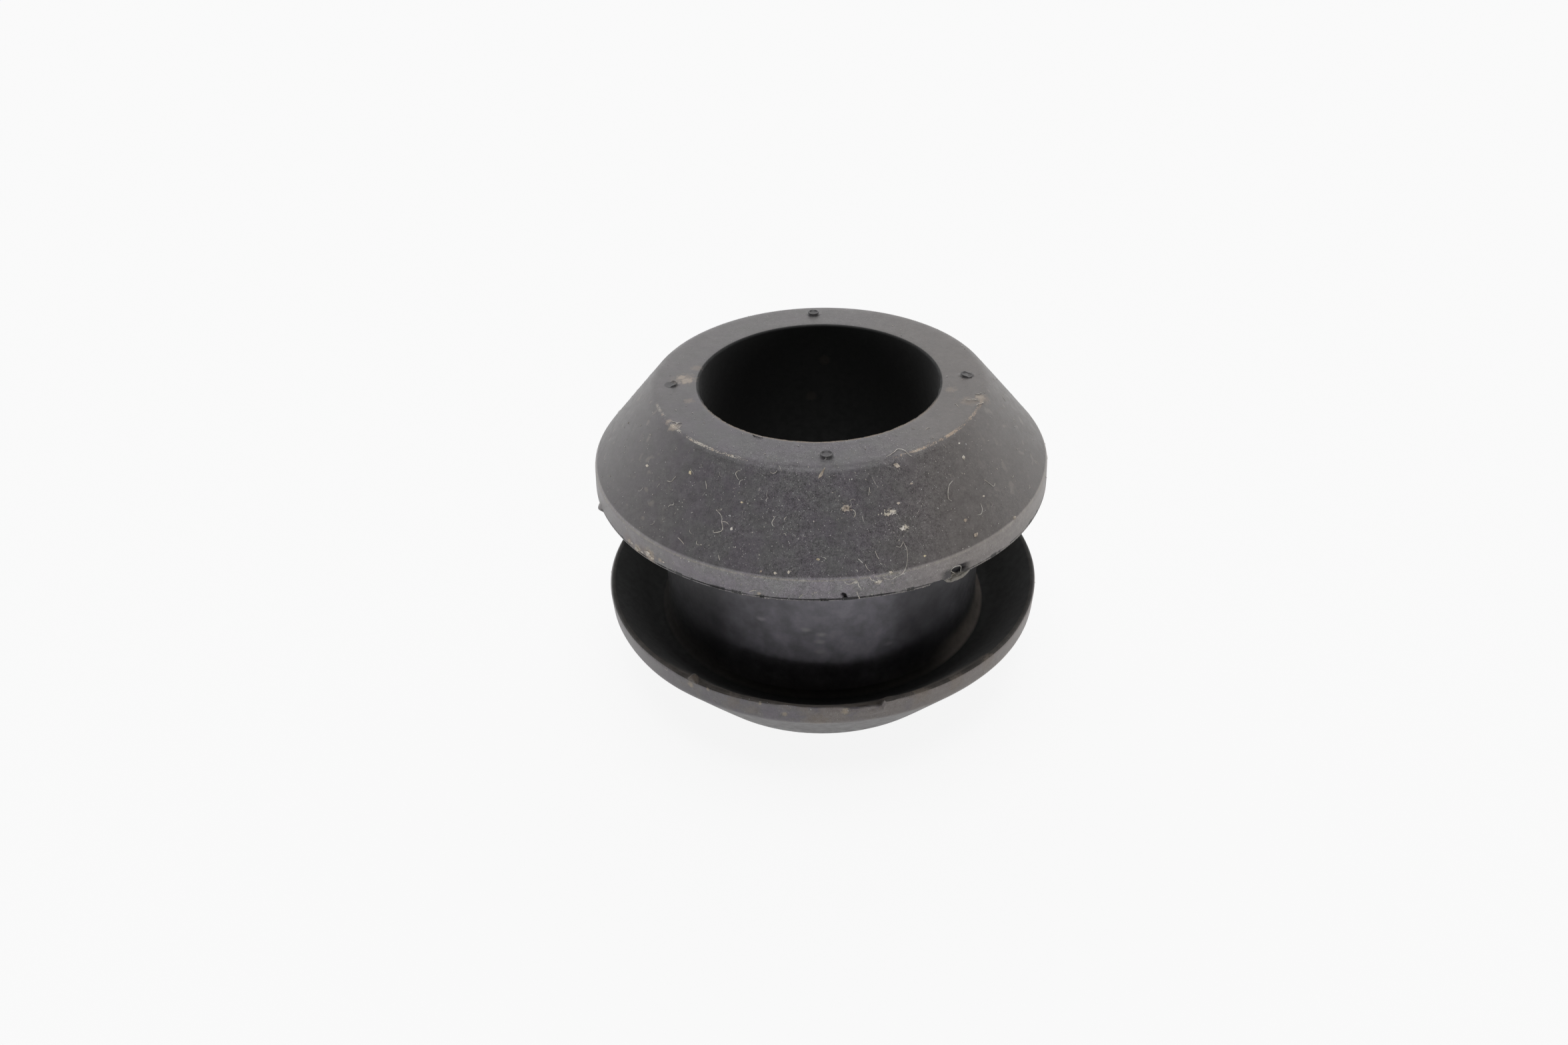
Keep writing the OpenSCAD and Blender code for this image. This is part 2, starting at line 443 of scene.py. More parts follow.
def insides_and_painted_shade(f):
    """The cups and the bore are painted blacker as shade, and the neck is grey, with a painted
    highlight and painted shade.
    """
    x, y, z, r = f.x, f.y, f.z, f.r
    streaks = f.mottle(0.8, 3.0, 0.6, stretch=(1, 1, 0.6))
    # The cups painted near black: painted shade in the recesses.
    f.paint(f.groove, CUP_SHADE_BLACK)
    # Brown inside the front of the cup, painted lighter where little light reaches: painted light.
    rim_front = f.between(r, 12.4, 14.0) * f.fall(z, 8.0, 9.0) * f.fall(y, -11.5, -9.5)
    f.paint(f.groove * rim_front, CUP_PAINTED_LIGHT_BROWN, streaks * 2.0)

    # The neck is painted palest in front and behind, as a painted highlight, cloudy, and darker at
    # its foot and to the left, as painted shade.
    facing = (abs(y) - x * 0.08) / r
    tone = f.between(facing, 0.1, 0.65, 0.2, 0.5) + f.between(facing, 0.80, 0.985) * 1.45
    clouds = f.between(f.mottle(1.3, 2.0, 0.55), 0.18, 0.82) - 0.5
    tone = tone * (1.0 + clouds * f.between(y, -3.0, 3.0, 0.56, 0.2)) * (0.88 + streaks * 0.24)
    tone = tone * f.between(z, 5.6, 6.8, 0.7, 1.0) * f.between(x, -9.0, 8.0, 0.72, 1.26)
    f.paint(f.neck, NECK_GREY, tone)

    # A tan ring round the foot of the neck, most of it at the right: dust, and a painted highlight
    # on the fillet.
    ring = f.window(r, NECK_R + 0.06, NECK_R + 0.40, 0.22) * f.fall(z, 4.4, 5.6)
    ring = ring * (f.between(x, 6.8, 9.4) * f.fall(y, 2.0, 4.0) * 0.85 + 0.15)
    f.paint(f.groove * ring, RING_DUST_AND_HIGHLIGHT, 0.4 + f.broad * 1.2)
    # The lips' lands: brown, painted lighter at the front as a painted highlight.
    f.paint(f.land, LAND_BROWN, streaks * f.between(y, -10.0, -4.0, 2.0, 0.7))
    # The bore painted near black, darker still deeper down: painted shade.
    f.paint(f.bore, BORE_SHADE_BLACK, f.between(z, 6.0, 19.0, 0.3, 1.0))


def scuffs(f):
    """Brown along the hub's edge and the bore's, tan on the crest of the band, pale on its lip."""
    x, y, z, r = f.x, f.y, f.z, f.r
    broad = f.broad - 0.5
    front = f.between(y, -6.2, -3.0, 1.0, 0.5) * f.fall(y, -3.2, -2.6)
    hub_edge = f.window(r, HUB_R - 0.24, HUB_R - 0.12, 0.07) \
        * f.between(z, BODY_H - 0.4, BODY_H - 0.3) * f.between(abs(x), 3.4, 5.2) * front
    flecks = f.mottle(0.085, 3.0, 0.65) + broad * 0.9 + (f.broken - 0.5) * 0.4 \
        + f.most(x * 0.011, x * -0.002)
    browner = f.between(f.broken + x * 0.01, 0.45, 0.55)
    f.paint(hub_edge * f.between(flecks, 0.54, 0.62) * 0.85,
            f.blend(browner, SCUFF_PALE, SCUFF_BROWN))

    crest = f.window(z, BAND_TOP + 0.01, BAND_TOP + 0.05, 0.05) * f.between(r, 14.6, 14.7)
    f.paint(crest * f.between(f.broken + broad * 0.5, 0.34, 0.56) * 0.8, CREST_TAN)
    bore_edge = f.window(r, BORE_R + 0.08, BORE_R + 0.20, 0.06) * f.ends * front
    f.paint(bore_edge * f.between(f.broken, 0.36, 0.52) * 0.75, BORE_EDGE_BROWN)
    lip_edge = f.window(z, UPPER_LIP_H - 0.02, UPPER_LIP_H + 0.06, 0.04) * f.between(r, 14.5, 14.6)
    f.paint(lip_edge * f.between(f.mottle(0.10, 2.0, 0.5), 0.54, 0.62) * 0.8, LIP_EDGE_PALE)


def moulding_marks_and_painted_light(f):
    """Dark pips, with painted shade round the front one, pale dots on the neck as painted
    highlights, and black rubber by the sliver at the bore's edge.
    """
    pip = f.least(*(f.away(facing, PIP_RING_R, BODY_H + 0.12) for facing, torn in PIPS))
    # The front pip is dusty in its middle and half dark round it as painted shade, and the others
    # dark all over.
    others = f.between(f.y, -5.0, -4.0)
    dark = f.between(pip, 0.20, 0.27, others, f.between(others, 0.0, 1.0, 0.5, 1.0))
    f.paint(f.fall(pip, 0.42, 0.52) * dark * 0.7, PIP_BLACK)
    # Pale dots on the neck: painted highlights on the raised dots.
    dots = (f.fall(f.away(facing, NECK_R, height, 1.9), 0.0, 0.50) * pale
            for facing, height, pale in NECK_DOTS)
    f.paint(f.most(*dots) * 0.60, DOT_HIGHLIGHT_PALE)
    lifted = f.near(BURR + 3.0, BORE_R + 0.35, BODY_H + 0.05, 0.5, 0.0)
    f.paint(lifted * f.between(f.z, BODY_H + 0.01, BODY_H + 0.03), BURR_BLACK)


def smudges(f):
    """Brown and pale smudges, soft pale blots at the sides, and dark dirt."""
    ragged = (f.broken - 0.5) * 2.6
    f.paint(f.any_near(BROWN_SMUDGES, ragged) * 0.40, SMUDGE_BROWN)
    f.paint(f.any_near(PALE_SMUDGES, ragged) * f.between(f.y, -9.0, -6.0, 0.80, 0.45), SMUDGE_PALE)
    blots = f.between(f.mottle(0.7, 1.0, 0.5), 0.63, 0.75) * f.between(abs(f.x), 8.5, 10.5)
    f.paint(blots * f.between(f.z, 16.4, 17.0) * (1.0 - f.ends) * 0.5, BLOT_PALE)
    f.paint(f.any_near(DIRT_SMUDGES, ragged * 0.3) * 0.65, DIRT_BROWN)


def rim_shade_and_tongue(f):
    """Painted shade in the flash line's crease, wide in places, the pale torn tongue at the gate,
    and painted shade in the gate's hole.
    """
    x, y, z = f.x, f.y, f.z
    along = f.mottle(1.1, 3.0, 0.6, stretch=(1, 1, 0.1))
    line = UPPER_LIP_H + FLASH_LINE
    # The crease of the flash line, wide in places, painted near black: painted shade.
    crease = f.window(z, line - 0.03, line + 0.03, 0.03) * f.between(along, 0.38, 0.50)
    wide = f.window(z, UPPER_LIP_H + 0.06, UPPER_LIP_H + 0.24, 0.04) * f.between(along, 0.565, 0.62)
    f.paint(f.most(crease, wide) * f.between(f.r, LIP_R - 0.25, LIP_R - 0.18) * 0.9, CREASE_SHADE_BLACK)

    gate_x, gate_y = math.cos(math.radians(GATE)), math.sin(math.radians(GATE))
    across, out = y * gate_x - x * gate_y, x * gate_x + y * gate_y
    tongue = f.window(across, -0.95, 0.90, 0.12) * f.between(out, 14.3, 14.6) \
        * f.window(z, UPPER_LIP_H - 0.6, UPPER_LIP_H + 0.02, 0.08)
    f.paint(tongue * f.between(f.broken, 0.25, 0.50) * 0.85, TONGUE_PALE)
    # The gate's hole and round it painted dark: painted shade.
    torn = f.window(across, -0.75, 0.60, 0.55) * f.between(out, 14.0, 14.2) \
        * f.window(z, UPPER_LIP_H + 0.10, UPPER_LIP_H + 0.50, 0.35)
    f.paint(torn * (1.0 - tongue) * 0.8, HOLE_SHADE_BLACK)


def rubber_finish():
    """Matt black rubber: dusty outside, painted darker inside as shade, with a fine sandy grain in
    front.
    """
    f = Rubber()
    for stage in (dust_and_sheen, insides_and_painted_shade, scuffs, moulding_marks_and_painted_light, smudges, rim_shade_and_tongue):
        stage(f)

    # The grain, strongest in the middle of the front, with dark pores and pale points of dust.
    middle = f.fall(abs(f.x - 0.5), 3.0, 9.0)
    grain, coarse = f.mottle(0.065, 2.0, 0.6), f.mottle(0.20, 2.0, 0.5)
    cloud = f.mottle(0.50, 3.0, 0.6)
    sandy = f.outside * (1.0 - f.band * 0.35) * (1.0 - f.ends * 0.25) \
        * f.between(f.z, 6.5, 13.0, 0.4, 1.0) \
        * f.between(f.y, -9.5, -5.5, 1.0, 0.35) * (0.35 + middle * 0.65) \
        * f.between(f.mottle(2.4, 2.0, 0.5), 0.38, 0.62, 0.6, 1.25)
    f.base = f.shade(f.base, 1.0 + (grain - 0.5) * (0.15 + sandy * 1.8)
                     + (coarse - 0.5) * (0.2 + sandy * 0.9)
                     + (cloud - 0.5) * (0.3 + f.outside * 0.3))
    spots = f.mottle(0.075, 1.0, 0.5)
    f.base = f.shade(f.base, 1.0 - f.fall(spots, 0.24, 0.32) * sandy * 0.4)
    points = f.between(spots, 0.69, 0.76) * f.between(cloud, 0.38, 0.52) * f.outside
    f.paint(points * f.between(f.y, -9.0, -4.0, 1.0, 0.4) * (0.3 + middle * 0.7) * 0.85, POINT_PALE)

    height = (grain * 0.5 + coarse * 0.3 + cloud * 0.4) * (0.3 + sandy * 0.7)
    roughness = f.between(cloud, 0.3, 0.7, 0.38, 0.52) + (f.groove - f.neck) * 0.35 + f.bore * 0.2
    return f.set(Base_Color=f.base, Roughness=roughness, Normal=f.bump(height, 0.00003, 0.8))


def lint_finish(name, first, second):
    """Matt fibre or dust, whose colour drifts from one place to the next."""
    f = Finish(name, IOR=1.4, Roughness=0.85)
    fine = f.mottle(0.05, 2.0, 0.6)
    dull = f.between(f.mottle(0.28, 2.0, 0.6), 0.38, 0.62, 0.62, 1.0)
    tone = f.blend(f.between(f.mottle(0.6, 2.0, 0.5), 0.40, 0.60), first, second)
    return f.set(Base_Color=f.shade(tone, dull * (0.6 + fine * 0.8)))


# ---- the grommet ----
def corner_run(before, corner, after, radius):
    """How far along its edges a corner is cut back to round it, as in the source."""
    to_a, to_c = before - corner, after - corner
    half = to_a.angle(to_c) / 2
    return min(radius / math.tan(half), to_a.length / 2, to_c.length / 2)


def turned_body():
    """The section's corners, rounded and divided, then spun about the bore."""
    lower = [(BORE_R, 0, BORE_EDGE), (HUB_R, 0, HUB_EDGE), (FLANK_FOOT_R, CONE_H, BAND_EDGE),
             (LIP_R, LIP_H, LIP_EDGE), (LIP_R - LIP_LAND, LIP_H, LIP_EDGE),
             (NECK_R, LIP_H - CUP_DEPTH, CUP_FILLET)]
    upper = [(r, BODY_H - h, edge) for r, h, edge in reversed(lower)]
    lower[2:4] = (FLANK_FOOT_R, CONE_H, SOFT_BAND_EDGE), (LIP_R, LIP_H, SOFT_LIP_EDGE)
    flash = [(LIP_R, UPPER_LIP_H + FLASH_LINE + side * FLASH_HALF, 0) for side in (-1, 0, 1)]
    corners = lower + upper[:3] + flash + upper[3:]
    spots = [Vector((r, 0, h)) for r, h, edge in corners]
    count = len(corners)

    deselect()
    bpy.ops.mesh.primitive_circle_add(vertices=count, radius=LIP_R)
    body = named("grommet_body")
    for vertex, spot in zip(body.data.vertices, spots):
        vertex.co = spot
    for i, (r, h, edge) in enumerate(corners):
        if edge:
            run = corner_run(spots[i - 1], spots[i], spots[(i + 1) % count], edge)
            pick(body, lambda co, spot=spots[i]: (co - spot).length < JOINED, "VERT")
            bpy.ops.mesh.bevel(affect="VERTICES", offset=run, offset_type="OFFSET", segments=4)
            done()

    # Divide the long edges: finest on the rims, coarsest in the bore.
    for longest in (8.0, 4.0, 2.0, 1.0, 0.5, 0.2):
        pick(body, lambda co: False, "EDGE")
        done()
        for edge in body.data.edges:
            a, b = (body.data.vertices[i].co for i in edge.vertices)
            finest = RIM_STEP if a.x > LIP_R - 0.5 else SKIN_STEP
            if a.x < BORE_R + 0.01:
                finest = BORE_STEP
            edge.select = (a - b).length > max(longest, finest)
        bpy.ops.object.mode_set(mode="EDIT")
        bpy.ops.mesh.subdivide(number_cuts=1)
        done()

    work_on(body)
    bpy.ops.object.mode_set(mode="EDIT")
    bpy.ops.mesh.select_all(action="SELECT")
    bpy.ops.mesh.spin(steps=TURNS, angle=2 * math.pi, center=(0, 0, 0), axis=(0, 0, 1))
    bpy.ops.mesh.select_all(action="SELECT")
    bpy.ops.mesh.remove_doubles(threshold=JOINED)
    bpy.ops.mesh.normals_make_consistent(inside=False)
    done()
    return body


def refine(piece, middle, spread, low, high, inner, outer, cuts):
    """Divides the faces of one area more finely, so that small marks can be shaped there."""
    def inside(co):
        r, facing = polar(co)
        return abs(swing(facing, middle)) < spread and low < co.z < high and inner < r < outer
    pick(piece, inside)
    bpy.ops.mesh.subdivide(number_cuts=cuts)
    done()


def reshape(piece, *rules):
    """Moves each vertex outwards and upwards by what the rules add up to."""
    for vertex in piece.data.vertices:
        co = vertex.co.copy()
        r, facing = polar(co)
        out = up = 0.0
        for rule in rules:
            more_out, more_up = rule(co, r, facing)
            out, up = out + more_out, up + more_up
        if out or up:
            vertex.co = co.x * (r + out) / r, co.y * (r + out) / r, co.z + up


def along_rim(facing, middle):
    """Distance along the rim from a direction, in millimetres."""
    return math.radians(swing(facing, middle)) * LIP_R


def unevenness(co, r, facing):
    """The rims are soft: they waver a little in and out, and up and down."""
    share = step((r - 11.5) / 3)
    return -0.03 * share * (1 + rough(co, 4.0, 1)), 0.06 * share * rough(co, 5.0, 2)


def nick(co, r, facing):
    """The lower lip is pressed down at the front, steps up at the right end, and has a flap."""
    if r < 13.4 or co.z > LIP_H + 0.3:
        return 0, 0
    left, right = swing(facing, NICK_LEFT), swing(NICK_RIGHT, facing)
    deep = NICK_DEPTH * (0.40 * step(left / 11) + 0.60 * step((left - 14) / 11)) * step(right + 0.5)
    deep -= 0.07 * bell((right + 1.6) / 1.6)
    share = step((co.z - LIP_H + 1.2) / 1.1)
    flap = FLAP_UP * bell(along_rim(facing, FLAP) / 0.45) * step((co.z - LIP_H + 0.5) / 0.4)
    return 0.10 * deep * share, flap - deep * share * (1 + 0.3 * rough(co, 0.5, 5))


def flash_line(co, r, facing):
    """A fine crease above the upper lip, where the mould closed, open in places only."""
    if r < LIP_R - 0.3 or abs(co.z - UPPER_LIP_H - FLASH_LINE) > 0.02:
        return 0, 0
    place = Vector((math.cos(math.radians(facing)), math.sin(math.radians(facing)), 0)) * LIP_R
    return -0.09 * step(0.5 + 1.6 * rough(place, 1.6, 6)), 0.02 * rough(place, 0.5, 7)


def gate(co, r, facing):
    """The torn gate: a ragged hole in the rim band, over a tongue that hangs below the lip."""
    across, high = along_rim(facing, GATE), co.z - UPPER_LIP_H
    if abs(across) > 2.1 or not -0.3 < high < 1.4 or r < 13.9:
        return 0, 0
    ragged = 0.25 * rough(co, 0.25, 3)
    hang = GATE_DROP * bell((across + 0.02) / 1.05) ** 0.6
    hang *= 1 + 0.3 * rough(Vector((across, 0, 0)), 0.3, 4)
    drop = -hang * step(1 - high / 0.45) * step((r - 14.2) / 0.35)
    bulge = 0.10 * plateau(across / 1.1, 0.5) * bell((high + 0.02) / 0.16) * step((r - 14.6) / 0.3)
    floor_line = 0.12 + 0.12 * across * across
    deep = plateau((across - 0.26) / 0.84 + ragged * 0.8, 0.6)
    deep *= step((high - floor_line + ragged * 0.2) / 0.10) * step(1 - (high - 0.32) / 0.50)
    hole = GATE_DEPTH * deep * (1 + 0.5 * ragged) * step((r - 14.6) / 0.2)
    missing = 0.16 * plateau((across + 1.35) / 0.62, 0.4) * step(1 - high / 0.3)
    return bulge - hole, drop + missing


def rim_marks(co, r, facing):
    """The nub of flash, the pit and the scuffs on the upper rim band."""
    high = co.z - UPPER_LIP_H
    if r < 14.3 or not -0.2 < high < 1.2:
        return 0, 0
    out = NUB_OUT * bell(math.hypot(along_rim(facing, NUB) / 0.55, (high - 0.06) / 0.42))
    if r > 14.7:
        across, above = along_rim(facing, PIT), high - PIT_HEIGHT
        pit = math.hypot((across + above) / 0.20, (across - above) / 0.36)
        out -= PIT_DEPTH * plateau(pit, 0.35)
        for middle, height, reach in RIM_SCUFFS:
            patch = bell(math.hypot(along_rim(facing, middle) / reach, (high - height) / 0.2))
            out += 0.05 * patch * rough(co, 0.1, 8)
    return out, 0


def neck_dots(co, r, facing):
    """Small raised dots on the neck, left by the mould."""
    if abs(r - NECK_R) > 0.1:
        return 0, 0
    out = 0.0
    for middle, height, pale in NECK_DOTS:
        across = math.radians(swing(facing, middle)) * NECK_R
        out += 0.04 * bell(math.hypot(across / 0.34, (co.z - height) / 0.20))
    return out, 0


def ragged_bore(co, r, facing):
    """The front edge of the bore is a little ragged."""
    if r > 8.2 or co.z < BODY_H - 0.3:
        return 0, 0
    share = step((0.3 + math.cos(math.radians(facing + 90))) / 0.6) * step((8.1 - r) / 0.2)
    return 0.045 * share * (rough(co, 0.45, 11) + 0.7 * rough(co, 0.18, 12)), 0


def vent_pip(facing, torn):
    """A short stub with a sunken end, rooted in the hub face; torn takes one side of it down."""
    deselect()
    bpy.ops.mesh.primitive_cylinder_add(vertices=36, radius=PIP_R, depth=PIP_H + PIP_ROOT,
                                        location=(0, 0, BODY_H + (PIP_H - PIP_ROOT) / 2))
    pip = named("vent_pip")
    bpy.ops.object.transform_apply(location=True)
    pick(pip, lambda co: co.z > BODY_H + PIP_H - 0.01)
    bpy.ops.mesh.inset(thickness=0.035)
    bpy.ops.transform.translate(value=(0, 0, 0.02))
    bpy.ops.mesh.inset(thickness=0.05)
    bpy.ops.mesh.inset(thickness=0.04)
    bpy.ops.transform.translate(value=(0, 0, -0.05))
    bpy.ops.mesh.inset(thickness=0.1)
    done()
    turn = Matrix.Rotation(math.radians(facing), 4, "Z") @ Matrix.Translation((PIP_RING_R, 0, 0))
    for vertex in pip.data.vertices:
        co = vertex.co
        side = step(co.x / PIP_R * 1.5 + 0.5)
        if co.z > BODY_H:
            co.z = BODY_H + (co.z - BODY_H) * (1 - 0.4 * torn)
            co.z -= torn * side * (PIP_H + 0.03) * 0.6
        co.x *= 1 + 0.08 * rough(co + Vector((facing, 0, 0)), 0.5)
        co.y *= 1 + 0.08 * rough(co + Vector((facing, 5, 0)), 0.5)
        vertex.co = turn @ co
    return pip


body = turned_body()
for area in FINE_AREAS:
    refine(body, *area)
reshape(body, unevenness, nick, flash_line, gate, rim_marks, neck_dots, ragged_bore)

for facing, torn in PIPS:
    pip = vent_pip(facing, torn)
    work_on(body)
    union = body.modifiers.new("pip", "BOOLEAN")
    union.operation, union.object, union.solver = "UNION", pip, "EXACT"
    bpy.ops.object.modifier_apply(modifier="pip")
    bpy.data.objects.remove(pip)

# Faces with many corners, left by the marks and the pips, become plain triangles.
pick(body, lambda co: True)
bpy.ops.mesh.dissolve_degenerate(threshold=TINY)
bpy.ops.mesh.select_face_by_sides(number=4, type="GREATER", extend=False)
bpy.ops.mesh.quads_convert_to_tris(quad_method="BEAUTY", ngon_method="BEAUTY")
done()

# ---- lint, chips and dust caught on the rubber ----
FIBRE, BOLD_FIBRE, HUB_FIBRE, CURL = 0.019, 0.026, 0.022, 0.010    # half their thickness
STRAY_FIBRES = 70
SPECKS, SPECKS_ON_TOP, SPECKS_ON_BAND = 1700, 90, 120
TUFT_LOBES, TUFT_CURLS = 5, 4
TUFT_FLAKES, TUFT_FLAKES_PER_MM = 34, 90
SUNK = 0.25                 # share of a flake that lies below the skin
# Each fibre: the direction and height where it starts, then its run, across and up.
BOLD_FIBRES = [
    (-85.2, 16.11, (.16, -.19), (.41, -.24), (.70, -.04), (.80, -.11), (.86, -.42), (.99, -.62),
     (1.0, -.77)),
    (-82.3, 15.28, (.06, -.24), (.16, -.48)),
    (-81.6, 19.20, (.12, -.12), (.14, -.30), (.02, -.48)),
    (-79.4, 16.16, (.10, -.18), (.30, -.30), (.44, -.46), (.58, -.34)),
    (-106.2, 15.05, (.25, .14), (.42, .16)),
    (-95.0, 14.98, (.16, .20), (.24, .28)),
]
# The loop over the gate, and the sliver lifted from the edge of the bore.
LOOP_FACING, LOOP_H = -57.3, 14.98
LOOP = [(-.01, .43), (-.50, .57), (-.73, .38), (-.44, .08), (-.68, .03)]
SLIVER = [(.05, -.12), (.20, -.26), (.44, -.44), (.62, -.44)]
FIBRES = [
    (-114.4, 20.61, (-.17, -.04), (-.25, -.19), (-.15, -.36), (.04, -.52)),
    (-112.9, 20.26, (-.15, -.10), (-.16, -.34)),
    (-118.4, 18.66, (.31, -.15), (.53, -.36), (.58, -.55), (.79, -1.0), (.53, -1.22), (.29, -1.3),
     (.22, -1.19)),
    (-115.8, 18.24, (.27, .01), (.44, -.08)),
    (-117.8, 18.68, (.17, .05), (.22, .14)),
    (-126.2, 16.89, (.28, -.08), (.57, -.21)),
    (-132.6, 17.95, (.06, .14), (.28, .26), (.25, .39)),
    (-136.9, 18.96, (.31, .10), (.41, .33), (.49, .51)),
    (-124.4, 19.73, (.12, -.17), (.26, -.40)),
    (-102.5, 18.89, (.08, -.12), (-.02, -.35), (.04, -.54), (.18, -.62)),
    (-98.9, 18.92, (-.12, -.14), (-.12, -.23)),
    (-76.0, 20.07, (-.06, -.22), (-.15, -.44)),
    (-70.2, 17.48, (.07, -.24), (.13, -.55), (.06, -.99), (-.14, -1.47), (-.38, -1.74),
     (-.55, -1.89), (-.89, -2.0), (-1.16, -2.16), (-1.42, -2.01), (-1.65, -1.82)),
    (-70.3, 17.41, (-.19, -.22), (-.44, -.12)),
    (-81.5, 17.02, (.11, -.12), (.23, -.27)),
    (-77.3, 17.27, (.06, -.26), (.15, -.50)),
    (-50.9, 19.28, (-.35, -.14), (-.62, -.47), (-.78, -.83), (-.63, -1.04)),
    (-40.4, 18.56, (.19, -.32), (.39, -.65), (.66, -.55)),
    (-45.6, 17.77, (-.08, -.33), (-.33, -.55), (-.68, -.47)),
]
# Fibres on the hub face, close to its edge: the direction of the start, then the run.
HUB_FIBRES = [
    (-68.3, (.42, .41), (.69, .81), (1.07, .60), (1.31, .27), (1.5, .14)),
    (-22.0, (.12, .16), (.30, .22), (.52, .46)),
    (-18.5, (-.30, .10), (-.62, .05), (-.80, .16)),
    (-13.0, (-.2, -.12), (-.36, -.06)),
    (-150.0, (.22, -.12), (.40, -.30)),
    (-147.0, (.10, .20), (.34, .26)),
]
# Each chip: direction, height, length, lean from level.
TAN_CHIPS = [(-89.6, 20.85, 0.70, 59), (-66.4, 20.78, 0.38, -31), (-63.6, 19.83, 0.17, 0),
             (-52.2, 17.43, 0.27, 0), (-37.7, 16.27, 0.30, 0),
             (-51.1, 16.62, 0.34, 20), (-68.9, 19.14, 0.20, 0), (-103.7, 16.41, 0.16, 40)]
PALE_CHIPS = [(-112.8, 18.02, 0.21, 81), (-43.5, 17.97, 0.17, 0), (-147.2, 18.94, 0.27, 20),
              (-100.4, 16.40, 0.19, 0), (-97.4, 16.49, 0.19, 90), (-42.2, 20.62, 0.16, 0),
              (-43.4, 19.96, 0.28, -107), (-138.3, 15.0, 0.36, 0), (-134.0, 15.18, 0.50, -25),
              (-132.6, 15.02, 0.26, 10), (-140.4, 15.1, 0.20, 30), (-136.4, 15.0, 0.18, 0),
              (-129.0, 15.2, 0.15, 0)]
GOLD_CHIPS = [(-130.5, 19.80, 0.25, -35), (-90.8, 17.09, 0.19, 0), (-111.7, 19.26, 0.16, 0),
              (-65.8, 16.59, 0.17, 0)]
# Each tuft: direction and height of its middle, its width and its height. The first is tan.
TUFTS = [(-83.1, 19.25, 0.76, 0.60), (-71.9, 18.81, 1.05, 0.46), (-68.9, 18.04, 0.54, 0.46),
         (-77.6, 15.80, 0.50, 0.16), (-82.6, 15.98, 0.16, 0.16), (-74.6, 16.22, 0.22, 0.16)]

surface = BVHTree.FromObject(body, bpy.context.evaluated_depsgraph_get())


def skin(facing, height, r=None):
    """The nearest point of the rubber to a direction and height, and the way it faces there."""
    if r is None:
        r = min(HUB_R + (BODY_H - height) / CONE_H * (FLANK_FOOT_R - HUB_R), LIP_R)
    turned = math.radians(facing)
    return surface.find_nearest(Vector((r * math.cos(turned), r * math.sin(turned), height)))[:2]


def level(normal):
    """The level direction along the skin, and the direction up it."""
    across = Vector((0, 0, 1)).cross(normal)
    across = across.normalized() if across.length > 0.05 else Vector((1, 0, 0))
    return across, normal.cross(across)


def copy_of(shape):
    made = shape.copy()
    made.data = shape.data.copy()
    bpy.context.scene.collection.objects.link(made)
    return made


def thread():
    """A straight thread, one unit long and thick, in short lengths: the start of every fibre."""
    deselect()
    bpy.ops.mesh.primitive_cylinder_add(vertices=5, radius=1, depth=1, location=(0, 0, 0.5))
    made = named("thread")
    bpy.ops.object.transform_apply(location=True)
    for halving in range(4):
        pick(made, lambda co: 0.001 < co.z < 0.999, "EDGE")
        bpy.ops.mesh.subdivide(number_cuts=1)
        done()
    return made


def through(points, share):
    """A point on the smooth run through the points, by its share of the way."""
    last = len(points) - 1
    i = min(int(share * last), last - 1)
    t = share * last - i
    a, b, c, d = (points[min(max(k, 0), last)] for k in (i - 1, i, i + 1, i + 2))
    return b + (c - a) * 0.5 * t + (a - b * 2.5 + c * 2 - d * 0.5) * t * t \
        + ((b - c) * 1.5 + (d - a) * 0.5) * t ** 3


def lay_fibre(start, normal, run, thick=FIBRE, lift=0.02, bridging=False):
    """A copy of the thread, laid on the rubber along a run from its start, or over its hollows."""
    across, up = level(normal)
    points = []
    for a, b in [(0, 0), *run]:
        spot, facing = surface.find_nearest(start + across * a + up * b)[:2]
        if bridging:
            spot, facing = start + across * a + up * b, normal
        points.append(spot + facing * (thick * 0.7 + (lift * random.random() if points else 0)))
    fibre = copy_of(THREAD)
    for vertex in fibre.data.vertices:
        share = vertex.co.z
        here = through(points, share)
        ahead = through(points, min(share + 0.03, 1)) - through(points, max(share - 0.03, 0))
        ahead.normalize()
        side = ahead.cross(normal).normalized()
        wide = thick * (0.75 + 0.25 * bell(share * 2 - 1) + 0.25 * rough(here, 0.15, 9))
        vertex.co = here + side * vertex.co.x * wide + ahead.cross(side) * vertex.co.y * wide
    return fibre


def flake(name, fineness, seed):
    """A rough lump about one unit across, that chips and specks are scaled from."""
    deselect()
    bpy.ops.mesh.primitive_ico_sphere_add(subdivisions=fineness, radius=0.5)
    made = named(name)
    for vertex in made.data.vertices:
        vertex.co *= 1 + 0.75 * rough(vertex.co, 0.33, seed) + 0.3 * rough(vertex.co, 0.15, seed)
    return made


def lay_flake(shape, start, normal, length, width, thick, lean):
    """A copy of a lump, flattened and pressed onto the rubber."""
    across, up = level(normal)
    along = across * math.cos(math.radians(lean)) + up * math.sin(math.radians(lean))
    aside = normal.cross(along)
    chip = copy_of(shape)
    for vertex in chip.data.vertices:
        x, y, z = vertex.co
        y = y * (1 - 2.2 * x * x) + 0.5 * length * x * x
        vertex.co = start + along * x * length + aside * y * width \
            + normal * (z + 0.5 - SUNK) * thick
    return chip


def lay_chips(chips):
    """Chips of the given places and sizes, of the three lumps in turn."""
    made = []
    for i, (facing, height, length, lean) in enumerate(chips):
        width = length * (0.20 if length > 0.6 else 0.66)
        place = skin(facing, height)
        made.append(lay_flake(LUMPS[i % 3], *place, length, width, 0.35 * width, lean))
    return made


